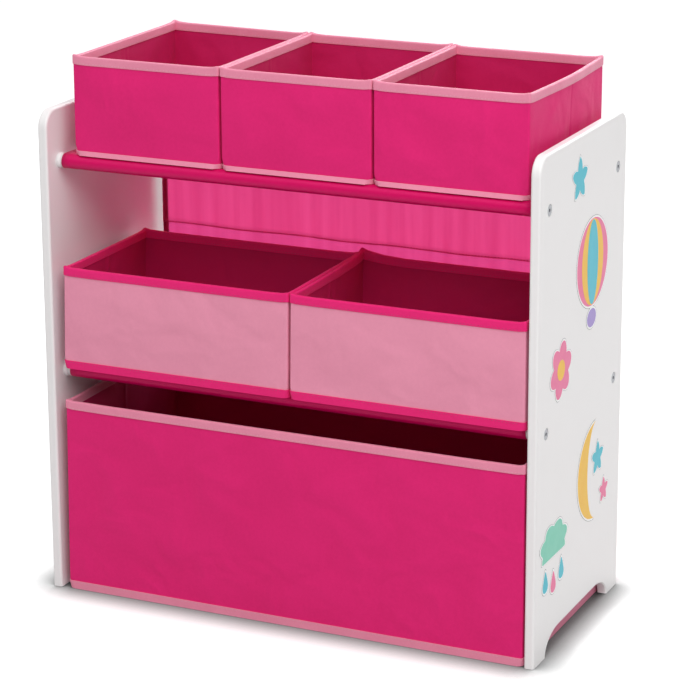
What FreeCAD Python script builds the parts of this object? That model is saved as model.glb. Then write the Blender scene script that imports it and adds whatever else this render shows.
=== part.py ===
"""Toy organizer for a nursery: two painted side panels joined by four steel tubes, which carry two
cloth shelves and a hanging back curtain, with six cloth bins: three on top, two in the middle and
one large bin on the floor.

Millimetres. X runs across the organizer, Y from its front (negative) to its back, Z up from the
floor. The origin is on the floor, below the middle of the frame.
"""
import FreeCAD
import Part

import math
import os

from FreeCAD import Vector

# ---------------------------------------------------------------- driving dimensions

# Side panels: 12 mm board with rounded top corners and an arch that leaves two feet.
overall_width = 630.0
panel_thickness = 12.0
panel_depth = 288.0
panel_height = 596.0
panel_corner_radius = 22.0
panel_edge_round = 3.0
foot_length = 38.0
arch_height = 25.0
arch_shoulder_length = 43.0
arch_edge_break = 1.5

# Tubes across the frame, one at the front and one at the back of each shelf.
tube_diameter = 16.0
tube_wall = 1.0
tube_inset = 29.5
top_tube_height = 532.0
middle_tube_height = 273.6

# Plastic plug in each tube end, which seats on the panel: a round flange and a six-sided spigot.
cap_diameter = 18.4
cap_length = 4.5
spigot_length = 20.0
spigot_clearance = 0.1

# Socket-head furniture bolt through the panel, which cuts its thread in the bore of the plug.
bolt_diameter = 6.0
bolt_hole_clearance = 0.3
bolt_thread_clearance = 0.05
bolt_head_diameter = 13.0
bolt_head_thickness = 2.4
bolt_head_gap = 0.5
bolt_head_recess = 0.2
bolt_socket_across_flats = 4.0
bolt_socket_depth = 1.6

# Cloth shelves: a sheet over the tops of two tubes with a sewn sleeve round each.
shelf_cloth = 0.8
sleeve_clearance = 0.2
sleeve_end_gap = 0.3

# Back curtain, sewn to the back of the rear sleeve of the top shelf.
curtain_cloth = 0.8
curtain_clearance = 0.2
curtain_side_gap = 7.0
curtain_hem_height = 381.0
curtain_lap_angle = 40.0
curtain_flat_length = 14.0
curtain_folds = 8
curtain_fold_top = 0.5
curtain_fold_bottom = 2.2

# Bins: a sewn skin and lining with stiff boards between them, bound with tape at rim and base.
bin_cloth = 0.7
wall_board = 2.0
bin_corner_cut = 2.0
smallest_corner_cut = 0.4
bin_base_corner_cut = 5.0
bin_shoulder_height = 12.0
tape_cloth = 0.8
tape_width = 10.0
tape_turn_under = 8.0
tape_edge_break = 0.5
board_corner_gap = 3.0
board_end_gap = 1.5
side_crease = 3.0
base_board_thickness = 2.5
base_board_gap = 3.0
seat_clearance = 0.3

# How the bins stand: all rows sit a little towards the right panel.
row_offset = 5.0
top_side_room = 17.0
top_bin_gap = 4.0
top_bin_depth = 246.0
top_bin_height = 118.0
top_bin_setback = 26.0
middle_side_room = 9.5
middle_bin_gap = 5.0
middle_bin_depth = 200.0
middle_bin_height = 125.0
middle_bin_setback = 3.0
bottom_side_room = 8.0
bottom_bin_depth = 278.0
bottom_bin_height = 241.0
bottom_bin_setback = 3.0

# ---------------------------------------------------------------- places worked out from them

front = -panel_depth / 2
back = panel_depth / 2
inner_face = overall_width / 2 - panel_thickness
inner_width = 2 * inner_face
tube_rows = {"front": front + tube_inset, "rear": back - tube_inset}
tube_levels = {"top": top_tube_height, "middle": middle_tube_height}
sleeve_inner_radius = tube_diameter / 2 + sleeve_clearance
sleeve_outer_radius = sleeve_inner_radius + shelf_cloth
tube_length = inner_width - 2 * cap_length
wall_thickness = 2 * bin_cloth + wall_board

os.makedirs("parts", exist_ok=True)


def save(name, shape):
    """Write one node to its own file and say what it holds."""
    shape.exportStep("parts/" + name + ".step")
    print(f"{name}: {len(shape.Solids)} solid(s), {shape.Volume / 1000:.1f} cm3")


# ---------------------------------------------------------------- small shape helpers


def along_x(x_start, length, y, z, radius):
    """Round bar along X."""
    return Part.makeCylinder(radius, length, Vector(x_start, y, z), Vector(1, 0, 0))


def hexagon_along_x(x_start, length, y, z, across_flats):
    """Hexagonal bar along X."""
    corner = across_flats / math.sqrt(3)
    points = []
    for step in range(7):
        angle = math.radians(60 * step)
        points.append(Vector(x_start, y + corner * math.cos(angle), z + corner * math.sin(angle)))
    return Part.Face(Part.makePolygon(points)).extrude(Vector(length, 0, 0))


def arc_about(centre, radius, start_angle, end_angle):
    """Arc about a centre, seen from the side, given by its two end angles in degrees."""
    angles = (start_angle, (start_angle + end_angle) / 2, end_angle)
    return Part.Arc(*(centre + turned(radius, angle) for angle in angles)).toShape()


def turned(radius, angle):
    """Step of a radius at an angle above the horizontal, seen from the side."""
    return Vector(0, radius * math.cos(math.radians(angle)), radius * math.sin(math.radians(angle)))


def line(start, end):
    return Part.LineSegment(start, end).toShape()


def cornered_rectangle(width, depth, cut, z):
    """Outline round the Z axis: four sides, with each corner cut off by a short flat."""
    x = width / 2
    y = depth / 2
    points = []
    for side_x, side_y in ((1, 1), (-1, 1), (-1, -1), (1, -1)):
        before = Vector(side_x * x, side_y * (y - cut), z)
        after = Vector(side_x * (x - cut), side_y * y, z)
        points.extend((before, after) if side_x * side_y > 0 else (after, before))
    return points


def flat_face(points):
    return Part.Face(Part.makePolygon(points + points[:1]))


def flat_sided(outlines):
    """Solid through outlines of equally many corners, one above the other, with flat sides."""
    faces = [flat_face(outlines[0]), flat_face(outlines[-1])]
    for lower, upper in zip(outlines, outlines[1:]):
        for index in range(len(lower)):
            following = (index + 1) % len(lower)
            faces.append(flat_face([lower[index], lower[following], upper[following], upper[index]]))
    return Part.makeSolid(Part.makeShell(faces))


def prism(width, depth, cut, z_low, z_high):
    return flat_sided([cornered_rectangle(width, depth, cut, z) for z in (z_low, z_high)])


# ---------------------------------------------------------------- side panels


def panel_outline(x):
    """Side view of a panel: two feet, an arch between them and rounded top corners."""
    arch_start = front + foot_length
    arch_end = back - foot_length
    flat_start = arch_start + arch_shoulder_length
    flat_end = arch_end - arch_shoulder_length
    top_start = front + panel_corner_radius
    top_end = back - panel_corner_radius
    shoulder_z = panel_height - panel_corner_radius
    front_shoulder = quarter_ellipse(x, flat_start, arch_start, flat_start)
    back_shoulder = quarter_ellipse(x, flat_end, flat_end, arch_end)
    edges = [
        line(Vector(x, front, 0), Vector(x, arch_start, 0)),
        front_shoulder,
        line(Vector(x, flat_start, arch_height), Vector(x, flat_end, arch_height)),
        back_shoulder,
        line(Vector(x, arch_end, 0), Vector(x, back, 0)),
        line(Vector(x, back, 0), Vector(x, back, shoulder_z)),
        arc_about(Vector(x, top_end, shoulder_z), panel_corner_radius, 0, 90),
        line(Vector(x, top_end, panel_height), Vector(x, top_start, panel_height)),
        arc_about(Vector(x, top_start, shoulder_z), panel_corner_radius, 90, 180),
        line(Vector(x, front, shoulder_z), Vector(x, front, 0)),
    ]
    return Part.Wire(edges)


def quarter_ellipse(x, centre_y, y_low, y_high):
    """Shoulder of the arch: a quarter of an ellipse that stands up from the floor."""
    centre = Vector(x, centre_y, 0)
    side = 1 if y_high > centre_y else -1
    # Seen along +X, the long half axis lies along Y and the short one along Z.
    foot_end = centre + Vector(0, side * arch_shoulder_length, 0)
    crown = centre + Vector(0, 0, arch_height)
    ellipse = Part.Ellipse(foot_end, crown, centre)
    first = ellipse.parameter(foot_end)
    last = ellipse.parameter(crown)
    return ellipse.toShape(min(first, last), max(first, last))


def finish_panel_edges(panel, x_faces):
    """Round the outer edges of the two faces and break those of the arch. The floor's stay sharp."""
    outer = []
    arch = []
    for edge in panel.Edges:
        box = edge.BoundBox
        on_face = any(abs(box.XMin - x) < 0.01 and abs(box.XMax - x) < 0.01 for x in x_faces)
        on_floor = box.ZMax < 0.01
        if on_face and not on_floor:
            in_arch = box.ZMax < arch_height + 0.01
            (arch if in_arch else outer).append(edge)
    rounded = panel.makeFillet(panel_edge_round, outer)
    return rounded.makeChamfer(arch_edge_break, edges_like(rounded, arch))


def edges_like(shape, wanted):
    """Edges of a shape that lie where the wanted ones lay before."""
    found = []
    for edge in shape.Edges:
        for other in wanted:
            same_place = (edge.CenterOfMass - other.CenterOfMass).Length < 0.01
            if same_place and abs(edge.Length - other.Length) < 0.01:
                found.append(edge)
                break
    return found


def side_panel(side):
    """side is -1 for the left panel and +1 for the right one."""
    low_x = inner_face if side > 0 else -overall_width / 2
    blank = Part.Face(panel_outline(low_x)).extrude(Vector(panel_thickness, 0, 0))
    panel = finish_panel_edges(blank, (low_x, low_x + panel_thickness))
    hole_radius = bolt_diameter / 2 + bolt_hole_clearance
    sink_radius = bolt_head_diameter / 2 + bolt_head_gap
    sink_depth = bolt_head_thickness + bolt_head_recess
    sink_x = overall_width / 2 - sink_depth if side > 0 else -overall_width / 2
    for y in tube_rows.values():
        for z in tube_levels.values():
            panel = panel.cut(along_x(low_x, panel_thickness, y, z, hole_radius))
            panel = panel.cut(along_x(sink_x, sink_depth, y, z, sink_radius))
    return panel


# ---------------------------------------------------------------- tubes, caps and bolts


def tube(y, z):
    outer = along_x(-tube_length / 2, tube_length, y, z, tube_diameter / 2)
    inner = along_x(-tube_length / 2, tube_length, y, z, tube_diameter / 2 - tube_wall)
    return outer.cut(inner)


def mirrored(shape, side):
    """The pieces of a joint are drawn at the right panel and mirrored for the left one."""
    if side > 0:
        return shape
    return shape.mirror(Vector(0, 0, 0), Vector(1, 0, 0))


def tube_cap(side, y, z):
    """Flange against the panel, spigot in the tube and a bore for the bolt through both."""
    flange_start = inner_face - cap_length
    flange = along_x(flange_start, cap_length, y, z, cap_diameter / 2)
    spigot_start = flange_start - spigot_length
    spigot_corners = tube_diameter - 2 * tube_wall - 2 * spigot_clearance
    spigot_flats = spigot_corners * math.cos(math.radians(30))
    spigot = hexagon_along_x(spigot_start, spigot_length, y, z, spigot_flats)
    bore_radius = bolt_diameter / 2 + bolt_thread_clearance
    bore = along_x(spigot_start, spigot_length + cap_length, y, z, bore_radius)
    return mirrored(flange.fuse(spigot).cut(bore).removeSplitter(), side)


def panel_bolt(side, y, z):
    """Flat round head, level with the panel, with a hexagonal socket and a plain shank."""
    head_start = overall_width / 2 - bolt_head_recess - bolt_head_thickness
    head = along_x(head_start, bolt_head_thickness, y, z, bolt_head_diameter / 2)
    socket_start = head_start + bolt_head_thickness - bolt_socket_depth
    socket = hexagon_along_x(socket_start, bolt_socket_depth, y, z, bolt_socket_across_flats)
    shank_start = inner_face - cap_length - spigot_length
    shank = along_x(shank_start, head_start - shank_start, y, z, bolt_diameter / 2)
    return mirrored(head.cut(socket).fuse(shank).removeSplitter(), side)


def at_all_tube_ends(make, side):
    """One copy of a small part at each tube end of one panel, as separate solids."""
    copies = []
    for y in tube_rows.values():
        for z in tube_levels.values():
            copies.append(make(side, y, z))
    return Part.makeCompound(copies)


# ---------------------------------------------------------------- cloth shelves and curtain


def shelf_sling(z):
    """Cloth sheet that lies on two tubes, with its edges sewn back as sleeves round them."""
    half_length = tube_length / 2 - sleeve_end_gap
    length = 2 * half_length
    front_y = tube_rows["front"]
    depth = tube_rows["rear"] - front_y
    corner = Vector(-half_length, front_y, z + sleeve_inner_radius)
    sling = Part.makeBox(length, depth, shelf_cloth, corner)
    for y in tube_rows.values():
        sling = sling.fuse(along_x(-half_length, length, y, z, sleeve_outer_radius))
    for y in tube_rows.values():
        sling = sling.cut(along_x(-half_length, length, y, z, sleeve_inner_radius))
    return sling.removeSplitter()


def fold_outline(half_width, y_near, z, depth):
    """Section of the hanging cloth: a run of shallow arcs, to the front and to the back by turns."""
    pitch = 2 * half_width / curtain_folds
    y_far = y_near + curtain_cloth
    near = []
    far = []
    for index in range(curtain_folds):
        x_start = -half_width + index * pitch
        x_end = x_start + pitch
        bulge = depth if index % 2 else -depth
        near.append(shallow_arc(x_start, x_end, y_near, bulge, z))
        far.append(shallow_arc(x_start, x_end, y_far, bulge, z))
    start = line(Vector(-half_width, y_near, z), Vector(-half_width, y_far, z))
    end = line(Vector(half_width, y_near, z), Vector(half_width, y_far, z))
    return Part.Wire([start] + far + [end] + near[::-1])


def shallow_arc(x_start, x_end, y, bulge, z):
    middle = Vector((x_start + x_end) / 2, y + bulge, z)
    return Part.Arc(Vector(x_start, y, z), middle, Vector(x_end, y, z)).toShape()


def back_curtain():
    """Lap sewn to the back of the rear sleeve, and below it the cloth that hangs in soft folds."""
    y = tube_rows["rear"]
    z = top_tube_height
    half_width = inner_face - curtain_side_gap
    inner = sleeve_outer_radius + curtain_clearance
    outer = inner + curtain_cloth
    start = Vector(-half_width, y, z)
    flat_end = z - curtain_flat_length
    lap = Part.Wire([
        arc_about(start, inner, 0, curtain_lap_angle),
        line(*(start + turned(radius, curtain_lap_angle) for radius in (inner, outer))),
        arc_about(start, outer, curtain_lap_angle, 0),
        line(start + Vector(0, outer, 0), Vector(-half_width, y + outer, flat_end)),
        line(Vector(-half_width, y + outer, flat_end), Vector(-half_width, y + inner, flat_end)),
        line(Vector(-half_width, y + inner, flat_end), start + Vector(0, inner, 0)),
    ])
    lap = Part.Face(lap).extrude(Vector(2 * half_width, 0, 0))
    top = fold_outline(half_width, y + inner, flat_end, curtain_fold_top)
    hem = fold_outline(half_width, y + inner, curtain_hem_height, curtain_fold_bottom)
    folds = Part.makeLoft([hem, top], True, True)
    return lap.fuse(folds).removeSplitter()


# ---------------------------------------------------------------- bins


def corner_at(cut, inset):
    """Corner cut of an outline that runs inside another at an even distance from it."""
    return max(cut - inset * (2 - math.sqrt(2)), smallest_corner_cut)


def tub(width, depth, inset, z_low, z_high):
    """Block of a bin's outer form, drawn in by inset: its corners tuck in towards the base."""
    w = width - 2 * inset
    d = depth - 2 * inset
    rim_cut = corner_at(bin_corner_cut, inset)
    base = cornered_rectangle(w, d, corner_at(bin_base_corner_cut, inset), z_low)
    shoulder = cornered_rectangle(w, d, rim_cut, bin_shoulder_height)
    rim = cornered_rectangle(w, d, rim_cut, z_high)
    return flat_sided([base, shoulder, rim])


def bin_skin(width, depth, height):
    top = height - tape_cloth
    outer = tub(width, depth, 0, tape_cloth, top)
    inner = tub(width, depth, bin_cloth, tape_cloth + bin_cloth, top)
    return outer.cut(inner)


def bin_lining(width, depth, height):
    top = height - tape_cloth
    floor = tape_cloth + bin_cloth
    outset = bin_cloth + wall_board
    outer = tub(width, depth, outset, floor, top)
    inner = tub(width, depth, wall_thickness, floor + bin_cloth, top)
    return outer.cut(inner)


def wall_boards(width, depth, height):
    """Boards between skin and lining. Each side wall has two, with a crease to fold at."""
    low = tape_cloth + 2 * bin_cloth + board_end_gap
    high = height - tape_cloth - board_end_gap
    room = bin_corner_cut + board_corner_gap
    tuck = bin_base_corner_cut + board_corner_gap
    half_width = width / 2
    half_depth = depth / 2
    across = tucked_board(-half_width, half_width, room, tuck, low, high)
    boards = []
    for near_y in (-half_depth + bin_cloth, half_depth - bin_cloth - wall_board):
        board = Part.Face(across).extrude(Vector(0, wall_board, 0))
        boards.append(board.translated(Vector(0, near_y, 0)))
    along = tucked_board(-half_depth, half_depth, room, tuck, low, high)
    side_board = Part.Face(along).extrude(Vector(0, wall_board, 0))
    crease = Part.makeBox(side_crease, wall_board, height, Vector(-side_crease / 2, 0, 0))
    side_board = side_board.cut(crease)
    side_board.rotate(Vector(0, 0, 0), Vector(0, 0, 1), 90)
    for near_x in (-half_width + bin_cloth + wall_board, half_width - bin_cloth):
        boards.extend(side_board.translated(Vector(near_x, 0, 0)).Solids)
    return Part.makeCompound(boards)


def tucked_board(x_low, x_high, room, tuck, low, high):
    """Outline of a wall board, with its lower corners cut back where the bin tucks in."""
    points = [
        Vector(x_low + tuck, 0, low),
        Vector(x_high - tuck, 0, low),
        Vector(x_high - room, 0, bin_shoulder_height),
        Vector(x_high - room, 0, high),
        Vector(x_low + room, 0, high),
        Vector(x_low + room, 0, bin_shoulder_height),
    ]
    return Part.makePolygon(points + points[:1])


def rim_binding(width, depth, height):
    """Tape folded over the rim, over the skin outside and the lining inside."""
    low = height - tape_width
    outer_cut = corner_at(bin_corner_cut, -tape_cloth)
    block = prism(width + 2 * tape_cloth, depth + 2 * tape_cloth, outer_cut, low, height)
    reach = wall_thickness + tape_cloth
    mouth_cut = corner_at(bin_corner_cut, reach)
    ring = block.cut(prism(width - 2 * reach, depth - 2 * reach, mouth_cut, low, height))
    top_edges = [e for e in ring.Edges if e.BoundBox.ZMin > height - 0.01]
    ring = ring.makeChamfer(tape_edge_break, top_edges)
    wall_top = height - tape_cloth
    wall = prism(width, depth, bin_corner_cut, low, wall_top)
    inside_cut = corner_at(bin_corner_cut, wall_thickness)
    inside = prism(width - 2 * wall_thickness, depth - 2 * wall_thickness, inside_cut, low, wall_top)
    return ring.cut(wall.cut(inside))


def base_binding(width, depth, height):
    """Tape over the base seam, up the walls and turned under the base."""
    outer = tub(width, depth, -tape_cloth, 0, height)
    above = Part.makeBox(2 * width, 2 * depth, height, Vector(-width, -depth, tape_width))
    under = prism(
        width - 2 * tape_turn_under,
        depth - 2 * tape_turn_under,
        corner_at(bin_base_corner_cut, tape_turn_under),
        0,
        tape_cloth,
    )
    skin_block = tub(width, depth, 0, tape_cloth, height)
    return outer.cut(above).cut(skin_block).cut(under)


def base_board(width, depth, height):
    inset = wall_thickness + base_board_gap
    low = tape_cloth + 2 * bin_cloth
    cut = corner_at(bin_base_corner_cut, inset)
    return prism(width - 2 * inset, depth - 2 * inset, cut, low, low + base_board_thickness)


bin_pieces = {
    "skin": bin_skin,
    "lining": bin_lining,
    "wall_boards": wall_boards,
    "rim_binding": rim_binding,
    "base_binding": base_binding,
    "base_board": base_board,
}


def save_bin(name, width, depth, height, place):
    for piece_name, make in bin_pieces.items():
        save(name + "_" + piece_name, make(width, depth, height).translated(place))


def save_row(names, side_room, gap, depth, height, setback, seat):
    """A row of equal bins that share the width between the panels."""
    row_width = inner_width - 2 * side_room
    width = (row_width - gap * (len(names) - 1)) / len(names)
    y = front + setback + depth / 2
    for index, name in enumerate(names):
        x = row_offset - row_width / 2 + width / 2 + index * (width + gap)
        save_bin(name, width, depth, height, Vector(x, y, seat))


# ---------------------------------------------------------------- the whole organizer

for side_name, side in (("left", -1), ("right", 1)):
    save("side_panel_" + side_name, side_panel(side))
    save("panel_bolts_" + side_name, at_all_tube_ends(panel_bolt, side))
    save("tube_caps_" + side_name, at_all_tube_ends(tube_cap, side))

for level, z in tube_levels.items():
    for row, y in tube_rows.items():
        save(f"{level}_{row}_tube", tube(y, z))
    save(level + "_shelf_sling", shelf_sling(z))

save("back_curtain", back_curtain())

sling_top = sleeve_outer_radius + seat_clearance
top_names = ("top_bin_left", "top_bin_middle", "top_bin_right")
save_row(top_names, top_side_room, top_bin_gap, top_bin_depth, top_bin_height,
         top_bin_setback, top_tube_height + sling_top)
middle_names = ("middle_bin_left", "middle_bin_right")
save_row(middle_names, middle_side_room, middle_bin_gap, middle_bin_depth, middle_bin_height,
         middle_bin_setback, middle_tube_height + sling_top)
save_row(("bottom_bin",), bottom_side_room, 0, bottom_bin_depth, bottom_bin_height,
         bottom_bin_setback, 0)
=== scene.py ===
# %% [markdown]
# # A toy organizer with six cloth bins
# The real object is a nursery shelf: two painted side panels, four steel tubes between them, two
# cloth shelves sewn round the tubes, a thin curtain that hangs at the back, and six bins that are
# sewn from cloth over stiff boards. The construction is already there as fixed solids, so this
# lesson only gives every surface its look. Everything is in metres, X across, Y to the back, Z up.

# %% Load the construction
import math

import bmesh
import bpy
from mathutils import Matrix, Vector, noise


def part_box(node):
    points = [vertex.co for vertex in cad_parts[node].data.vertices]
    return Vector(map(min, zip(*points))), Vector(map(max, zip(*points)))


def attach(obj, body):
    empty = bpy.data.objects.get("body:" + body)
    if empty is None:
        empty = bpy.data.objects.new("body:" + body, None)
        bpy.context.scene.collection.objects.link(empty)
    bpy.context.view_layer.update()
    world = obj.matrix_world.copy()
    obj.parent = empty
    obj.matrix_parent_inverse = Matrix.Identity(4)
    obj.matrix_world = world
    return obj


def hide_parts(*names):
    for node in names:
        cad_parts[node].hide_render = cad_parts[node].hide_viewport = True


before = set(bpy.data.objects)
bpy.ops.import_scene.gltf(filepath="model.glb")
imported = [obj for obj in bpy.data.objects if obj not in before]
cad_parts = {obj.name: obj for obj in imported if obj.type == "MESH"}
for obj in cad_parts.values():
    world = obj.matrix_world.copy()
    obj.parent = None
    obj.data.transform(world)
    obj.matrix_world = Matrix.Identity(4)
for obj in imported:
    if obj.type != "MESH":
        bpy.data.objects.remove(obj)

MM = 0.001
scene = bpy.context.scene
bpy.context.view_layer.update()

# %% [markdown]
# ## Helpers for meshes
# Every cloth piece here is a thin sheet that was cut, folded and sewn. It could be drawn as a solid
# block, but a sheet that is extruded and cut into strips can be bowed, tucked and creased like the
# real cloth, and a Solidify modifier gives it its thickness at the very end. These helpers hold the
# steps that come back in each piece.

# %% Cut a mesh into strips
X_AXIS = Vector((1, 0, 0))
Y_AXIS = Vector((0, 1, 0))
Z_AXIS = Vector((0, 0, 1))
SAME_SPOT = 1e-6
CUT_TOLERANCE = 1e-7


def slice_at(bm, axis, places):
    """Cut the whole mesh with planes square to an axis, so that it can bend there."""
    for place in places:
        everything = bm.verts[:] + bm.edges[:] + bm.faces[:]
        bmesh.ops.bisect_plane(bm, geom=everything, dist=CUT_TOLERANCE, plane_co=axis * place,
                               plane_no=axis)


def evenly(start, end, count):
    """Places that divide a length into count equal strips, without its two ends."""
    return [start + (end - start) * step / count for step in range(1, count)]


# %% Extrude edges and faces
def verts_in(geometry):
    """The vertices in a mixed list of vertices, edges and faces."""
    return [item for item in geometry if isinstance(item, bmesh.types.BMVert)]


def extrude(bm, edges, vector):
    """Pull new walls out of some edges."""
    made = bmesh.ops.extrude_edge_only(bm, edges=edges)["geom"]
    bmesh.ops.translate(bm, vec=vector, verts=verts_in(made))


def thicken(bm, verts, vector):
    """Pull a flat face with these corners out into a block, and give back the new corners."""
    made = bmesh.ops.extrude_face_region(bm, geom=[verts[0].link_faces[0]], use_keep_orig=True)
    far_verts = verts_in(made["geom"])
    bmesh.ops.translate(bm, vec=vector, verts=far_verts)
    return far_verts


def open_edges(bm):
    return [edge for edge in bm.edges if edge.is_boundary]


# %% Lay a UV map in metres
def lay_uv(bm):
    """Give each face the two coordinates it lies in, so that threads follow the cloth."""
    layer = bm.loops.layers.uv.new("threads")
    for face in bm.faces:
        size = [abs(part) for part in face.normal]
        facing = size.index(max(size))
        first, second = [(1, 2), (0, 2), (0, 1)][facing]
        for loop in face.loops:
            loop[layer].uv = (loop.vert.co[first], loop.vert.co[second])


# %% Turn a bmesh into a finished piece
SHARP_ANGLE = math.radians(38)


def show(thing):
    scene.collection.objects.link(thing)


def make_piece(name, bm, materials, body, replaces=(), thickness=0.0, offset=-1.0):
    """Clean the mesh, give it its UV map, its materials and its place among the real pieces."""
    bmesh.ops.remove_doubles(bm, verts=bm.verts, dist=SAME_SPOT)
    bmesh.ops.recalc_face_normals(bm, faces=bm.faces)
    lay_uv(bm)
    mesh = bpy.data.meshes.new(name)
    bm.to_mesh(mesh)
    bm.free()
    for material in materials:
        mesh.materials.append(material)
    mesh.shade_smooth()
    mesh.set_sharp_from_angle(angle=SHARP_ANGLE)
    piece = bpy.data.objects.new(name, mesh)
    show(piece)
    if thickness:
        wall = piece.modifiers.new("cloth thickness", "SOLIDIFY")
        wall.thickness = thickness
        wall.offset = offset
    if thickness and offset < 0:
        # Cloth that grows to one side is made solid at once, so that its cut rim is marked sharp
        # too. A rim shaded smooth would darken the edges of the tapes.
        settled = piece.evaluated_get(bpy.context.evaluated_depsgraph_get())
        piece.data = bpy.data.meshes.new_from_object(settled)
        piece.modifiers.clear()
        bpy.data.meshes.remove(mesh)
        mesh = piece.data
        mesh.name = name
        mesh.set_sharp_from_angle(angle=SHARP_ANGLE)
    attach(piece, body)
    if replaces:
        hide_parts(*replaces)
    print(f"{name}: {len(mesh.polygons)} faces")
    return piece


# %% [markdown]
# ## Helpers for materials
# A finish is built from nodes. One helper adds a node, sets its properties and fills its inputs,
# either with a number or with another node's output. Colours are written as a painter's hex values
# and turned to the linear numbers that the renderer works with.

# %% Colours and nodes
def linear(hex_colour):
    """An sRGB hex colour as linear red, green, blue and alpha."""
    levels = [int(hex_colour[start:start + 2], 16) / 255 for start in (1, 3, 5)]
    bent = [level / 12.92 if level <= 0.04045 else ((level + 0.055) / 1.055) ** 2.4 for level in levels]
    return (*bent, 1.0)


def add(tree, kind, inputs=None, **settings):
    """Add one node; an input may be a value or the output of another node."""
    node = tree.nodes.new(kind)
    for key, value in settings.items():
        setattr(node, key, value)
    for key, value in (inputs or {}).items():
        if isinstance(value, bpy.types.NodeSocket):
            tree.links.new(value, node.inputs[key])
        else:
            node.inputs[key].default_value = value
    return node


def new_material(name, **shader_values):
    """An empty node material with one shader; the values that never change sit on its sockets."""
    material = bpy.data.materials.new(name)
    material.use_nodes = True
    tree = material.node_tree
    shader = tree.nodes["Principled BSDF"]
    for key, value in shader_values.items():
        shader.inputs[key.replace("_", " ")].default_value = value
    return material, tree, shader


def maths(tree, operation, *values):
    """One sum on numbers or outputs."""
    return add(tree, "ShaderNodeMath", dict(enumerate(values)), operation=operation).outputs[0]


def tones(tree, factor, dark, light):
    """Blend two hex colours by a factor from 0 to 1."""
    ramp = add(tree, "ShaderNodeValToRGB", {"Fac": factor})
    ramp.color_ramp.elements[0].color = linear(dark)
    ramp.color_ramp.elements[1].color = linear(light)
    return ramp.outputs["Color"]


# %% Let a pattern steer the colour, the gloss or the relief
def object_noise(tree, scale, detail):
    """Noise in the piece's own coordinates."""
    spot = add(tree, "ShaderNodeTexCoord").outputs["Object"]
    inputs = {"Vector": spot, "Scale": scale, "Detail": detail}
    return add(tree, "ShaderNodeTexNoise", inputs).outputs["Fac"]


def colour_by(tree, shader, factor, dark, light):
    tree.links.new(tones(tree, factor, dark, light), shader.inputs["Base Color"])


def gloss_by(tree, shader, factor, start, end):
    """Roughness from start to end as the factor goes from 0 to 1."""
    gloss = add(tree, "ShaderNodeMapRange", {"Value": factor, "To Min": start, "To Max": end})
    tree.links.new(gloss.outputs["Result"], shader.inputs["Roughness"])


def bump_by(tree, shader, height, distance, strength=1.0, **below):
    """Relief of a given height in metres, on top of another relief if one is given as Normal."""
    bump = add(tree, "ShaderNodeBump", {"Height": height, "Strength": strength,
                                        "Distance": distance, **below})
    tree.links.new(bump.outputs["Normal"], shader.inputs["Normal"])
    return bump.outputs["Normal"]


def bands(pitch):
    """Scale of a wave texture whose bands repeat every pitch metres."""
    return math.pi / (10 * pitch)


# %% [markdown]
# ## Cloth
# The bins and shelves are polyester cloth: an even plain weave, a little shiny, with a soft bloom
# at grazing angles. A picture of a weave would be quicker, but it would stretch at the corners, so
# here two sets of bands cross in a chequer, over and under, in the piece's own UV map in metres.
# The real threads are about 0.4 mm apart, too fine for the picture, so they are drawn coarser.

# %% A woven cloth
def woven_cloth(name, dark, light, thread, roughness, sheen, place="UV", wrinkle=0.45,
                gloss_level=0.2, gloss_tint="#FFFFFF", along=0.0):
    """Plain weave with threads that lie thread metres apart, and wide soft wrinkles."""
    material, tree, shader = new_material(name, Sheen_Weight=sheen, Sheen_Roughness=0.45,
                                          Specular_IOR_Level=gloss_level,
                                          Specular_Tint=linear(gloss_tint), Anisotropic=along)
    lie = add(tree, "ShaderNodeTangent", direction_type="UV_MAP", uv_map="threads")
    tree.links.new(lie.outputs["Tangent"], shader.inputs["Tangent"])
    spot = add(tree, "ShaderNodeTexCoord").outputs
    warp, weft = [add(tree, "ShaderNodeTexWave", {"Vector": spot[place], "Scale": bands(thread)},
                      bands_direction=direction).outputs["Fac"] for direction in "XY"]
    over = add(tree, "ShaderNodeTexChecker", {"Vector": spot[place], "Scale": 1 / thread})
    weave = add(tree, "ShaderNodeMix", {"Factor": over.outputs["Fac"], "A": warp, "B": weft},
                data_type="FLOAT").outputs["Result"]
    slubs = object_noise(tree, 260.0, 2.0)
    sag = add(tree, "ShaderNodeTexNoise", {"Vector": spot["Object"], "Scale": 15.0, "Detail": 2.0,
                                           "Distortion": 0.4}).outputs["Fac"]
    factor = 0.0
    for pattern, share in ((weave, 0.35), (slubs, 0.35), (sag, 0.3)):
        factor = maths(tree, "MULTIPLY_ADD", pattern, share, factor)
    colour_by(tree, shader, factor, dark, light)
    gloss_by(tree, shader, weave, roughness + 0.08, roughness - 0.08)
    folds = bump_by(tree, shader, sag, 12 * MM, wrinkle)
    bump_by(tree, shader, weave, 0.15 * MM, 0.25, Normal=folds)
    return material


# %% The cloths of the organizer
# Woven polyester over boards: matt, with a weak sheen.
hot_pink = woven_cloth("polyester weave hot pink", "#D61866", "#EE287E", 1.2 * MM, 0.62, 0.03)
light_pink = woven_cloth("polyester weave light pink", "#E28BA7", "#F4A0B9", 1.2 * MM, 0.62, 0.03)
lining_pink = woven_cloth("polyester lining hot pink", "#B81454", "#CC1E62", 1.5 * MM, 0.7, 0.02)
board_pink = woven_cloth("lining cloth on the base board", "#B81454", "#CC1E62", 1.5 * MM, 0.7, 0.02,
                         place="Object")
# Satin-faced polyester of the shelves: its long floating threads make the bright bands on a sleeve.
satin_pink = woven_cloth("polyester satin hot pink", "#BE004C", "#D80662", 0.9 * MM, 0.42, 0.0,
                         wrinkle=0.12, gloss_level=1.0, gloss_tint="#FF6AA8", along=0.9)
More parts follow.
